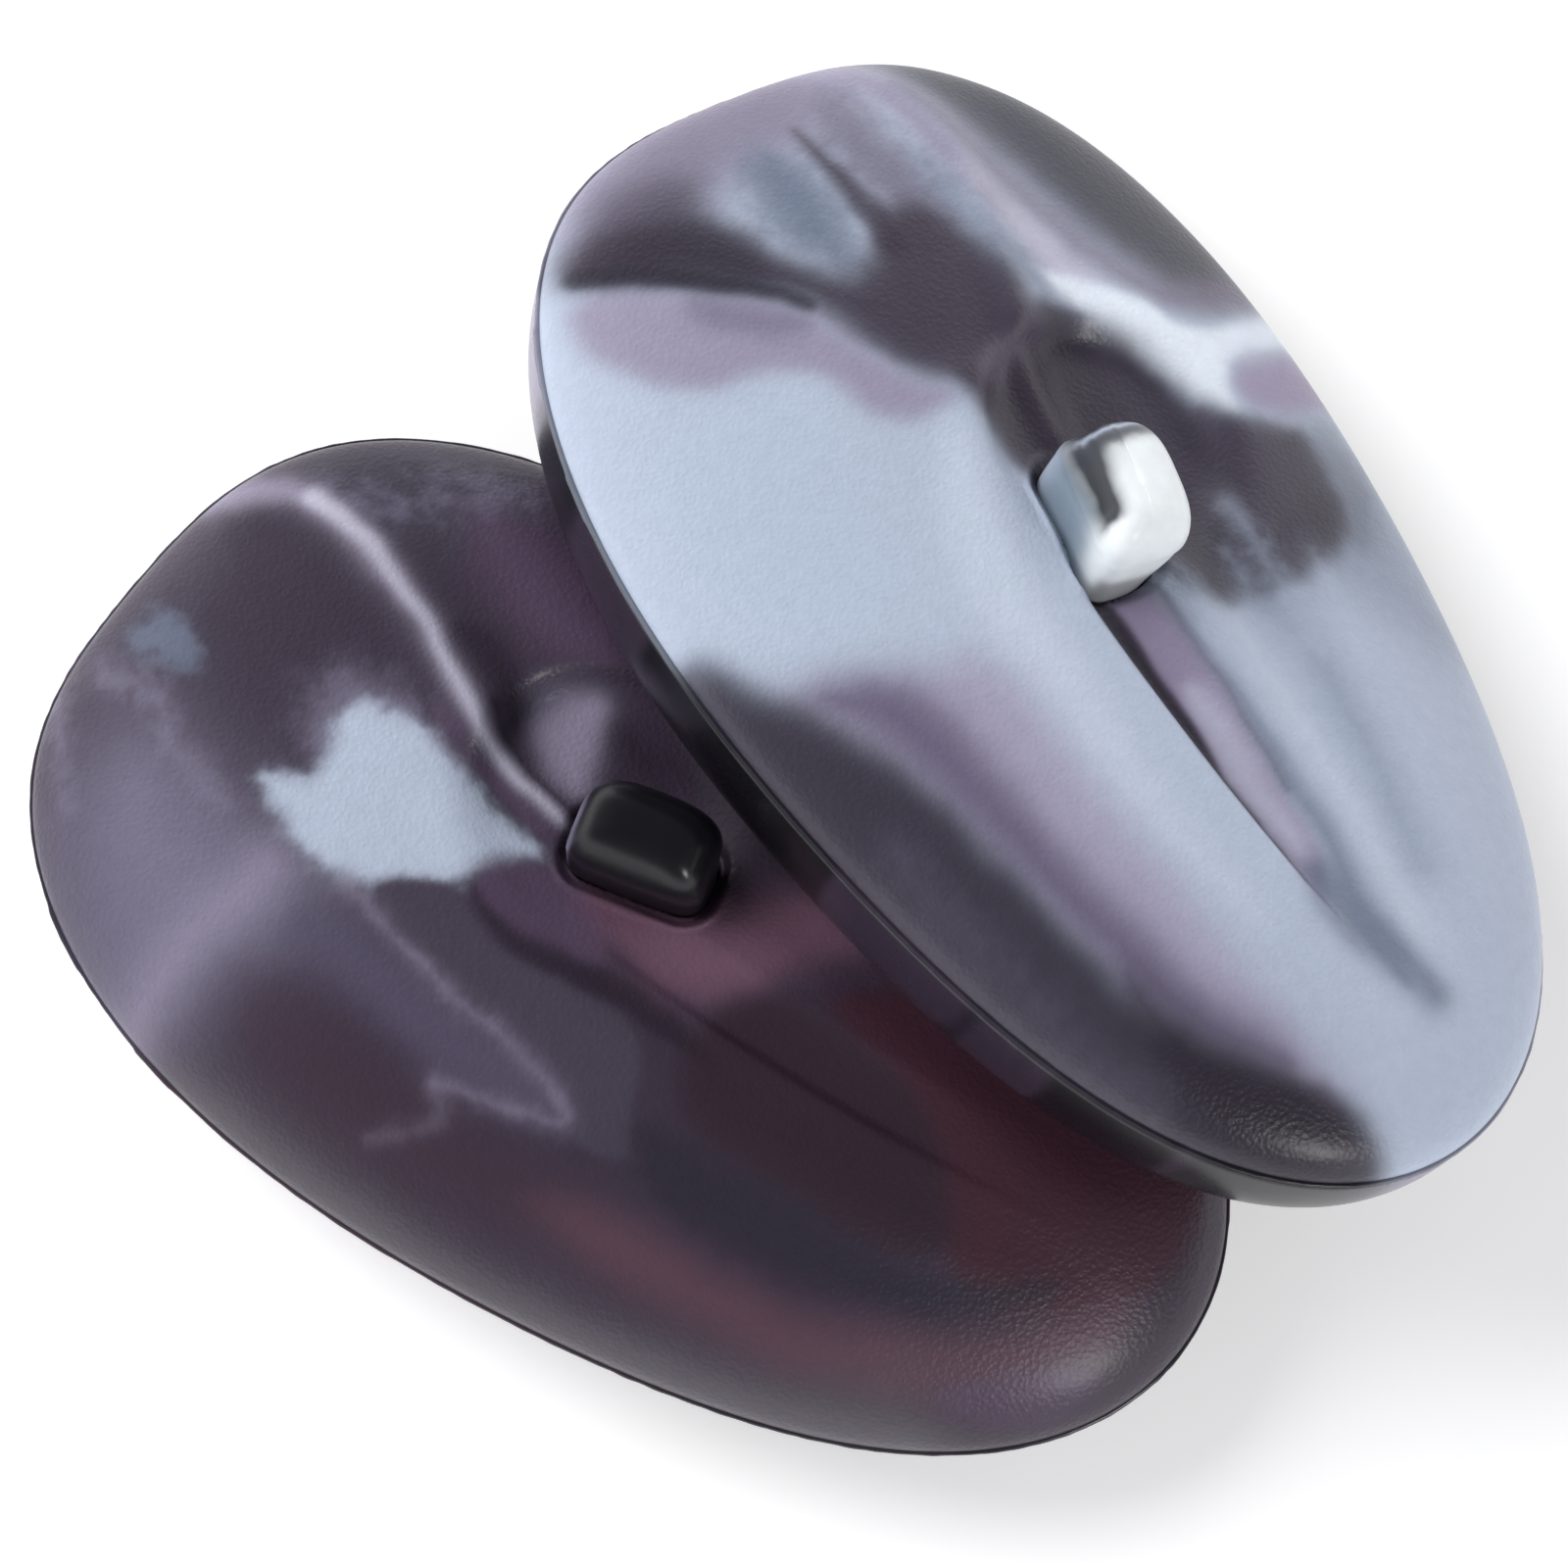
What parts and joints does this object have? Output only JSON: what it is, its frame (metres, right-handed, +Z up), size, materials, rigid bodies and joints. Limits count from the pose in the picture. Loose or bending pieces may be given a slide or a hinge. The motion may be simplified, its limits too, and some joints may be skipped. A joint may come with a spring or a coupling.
{
  "type": "palm claves",
  "caption": "Pair of egg-shaped hollow palm claves with sculpted marbled fronts and hooked finger tabs, struck together for a click.",
  "frame": {"origin": "centre of the pair's footprint, on the table under the left clave's rest face", "axes": "+Z up from the table, +X towards the right clave's low edge, +Y away from the viewer"},
  "size_m": [0.1186, 0.1112, 0.0373],
  "materials": {
    "left_marbled_front": "satin, fine leather grain, plum marbled with ice white",
    "left_smooth_back": "smooth satin plum",
    "right_marbled_front": "satin, fine leather grain, ice blue marbled with plum",
    "right_smooth_back": "smooth satin plum and slate",
    "seam_bead": "glossy moulded line",
    "left_tab": "satin black",
    "right_tab": "satin ice white with a slate swirl",
    "fixing_steel": "plain steel"
  },
  "bodies": {
    "left_clave": {"left_front_shell": "left_marbled_front", "left_back_shell": "left_smooth_back", "left_seam_bead": "seam_bead", "left_finger_tab": "left_tab", "left_tab_washer": "fixing_steel", "left_tab_screw": "fixing_steel"},
    "right_clave": {"right_front_shell": "right_marbled_front", "right_back_shell": "right_smooth_back", "right_seam_bead": "seam_bead", "right_finger_tab": "right_tab", "right_tab_washer": "fixing_steel", "right_tab_screw": "fixing_steel"}
  },
  "joints": [
    {"name": "right_clave_lift", "type": "slide", "parent": "left_clave", "child": "right_clave", "axis": [0, 0, 1], "range_m": [0, 0.06]}
  ]
}
